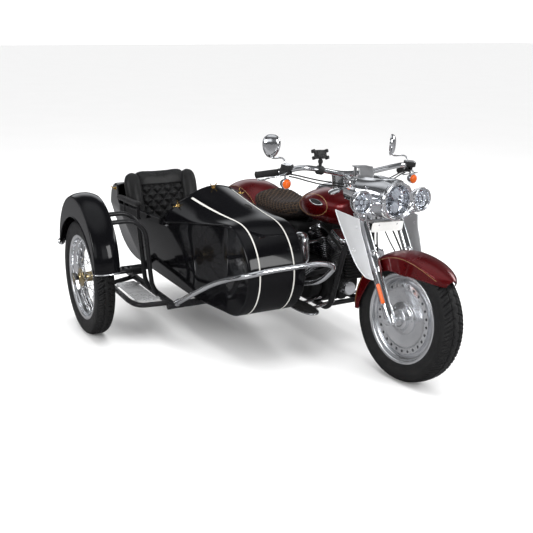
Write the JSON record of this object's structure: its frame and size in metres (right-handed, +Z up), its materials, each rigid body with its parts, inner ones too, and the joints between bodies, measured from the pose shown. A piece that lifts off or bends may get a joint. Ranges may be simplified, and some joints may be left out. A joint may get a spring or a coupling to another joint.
{
  "type": "sidecar motorcycle",
  "caption": "Cruiser motorcycle with a sidecar bolted to its right side, parked on its wheels with the bars turned a little to the left.",
  "frame": {"origin": "middle of the outfit's footprint, on the ground", "axes": "+X forward, +Y to the rider's left, +Z up; the sidecar is on the -Y side"},
  "size_m": [2.3796, 1.7676, 1.1714],
  "materials": {
    "red_paint": "gloss",
    "black_paint": "gloss",
    "frame_black": "satin",
    "engine_black": "satin",
    "chrome": "polished",
    "polished_alloy": "polished",
    "checker_alloy": "satin",
    "brushed_steel": "satin",
    "silver_panel": "satin",
    "rubber": "matte",
    "belt_rubber": "matte",
    "tyre": "matte",
    "seat_leather": "satin",
    "car_seat_leather": "satin",
    "lens_red": "gloss",
    "lens_amber": "gloss",
    "lamp": "gloss",
    "plate_white": "satin",
    "black_plastic": "matte"
  },
  "bodies": {
    "chassis": {"main_frame": "frame_black", "swingarm": "frame_black", "rear_axle": "chrome", "crankcase": "engine_black", "front_cylinder": "engine_black", "rear_cylinder": "engine_black", "primary_cover": "chrome", "air_cleaner": "chrome", "horn_cover": "chrome", "exhaust": "chrome", "drive_belt": "belt_rubber", "fuel_tank": "red_paint", "tank_console": "chrome", "rider_seat": "seat_leather", "rear_fender": "red_paint", "tail_lamps": "lens_red", "footboards": "rubber", "sidecar_frame": "frame_black", "sidecar_struts": "frame_black", "sidecar_body": "black_paint", "sidecar_seat": "car_seat_leather", "armrest": "car_seat_leather", "sidecar_fender": "black_paint", "fender_stays": "frame_black", "sidecar_axle": "frame_black", "step_rail": "chrome", "step_plate": "checker_alloy", "bumper_bar": "chrome", "sidecar_lamp": "lens_red"},
    "fork": {"fork_legs": "chrome", "fork_clamps": "chrome", "front_axle": "chrome", "handlebar": "chrome", "hand_grips": "rubber", "bar_controls": "black_plastic", "mirrors": "black_plastic", "turn_signals": "lens_amber", "nacelle": "chrome", "clamp_cover": "brushed_steel", "headlamp": "lamp", "passing_lamps": "chrome", "fork_deflectors": "silver_panel", "front_fender": "red_paint", "number_plate": "plate_white", "phone_holder": "black_plastic"},
    "front_wheel": {"front_tyre": "tyre", "front_disc_wheel": "polished_alloy"},
    "rear_wheel": {"rear_tyre": "tyre", "rear_disc_wheel": "polished_alloy"},
    "sidecar_wheel": {"sidecar_tyre": "tyre", "sidecar_spoke_wheel": "chrome"}
  },
  "joints": [
    {"name": "steering", "type": "hinge", "parent": "chassis", "child": "fork", "pos_m": [0.51158, 0.38621, 0.8415], "axis": [-0.515, 0, 0.8572], "range_deg": [-35, 21]},
    {"name": "front_wheel_spin", "type": "hinge", "parent": "fork", "child": "front_wheel", "pos_m": [0.86996, 0.391, 0.32085], "axis": [-0.1045, 0.9925, -0.0628], "continuous": true},
    {"name": "rear_wheel_spin", "type": "hinge", "parent": "chassis", "child": "rear_wheel", "pos_m": [-0.76479, 0.38621, 0.326], "axis": [0, 1, 0], "continuous": true},
    {"name": "sidecar_wheel_spin", "type": "hinge", "parent": "chassis", "child": "sidecar_wheel", "pos_m": [-0.49879, -0.80779, 0.328], "axis": [0, 1, 0], "continuous": true}
  ]
}
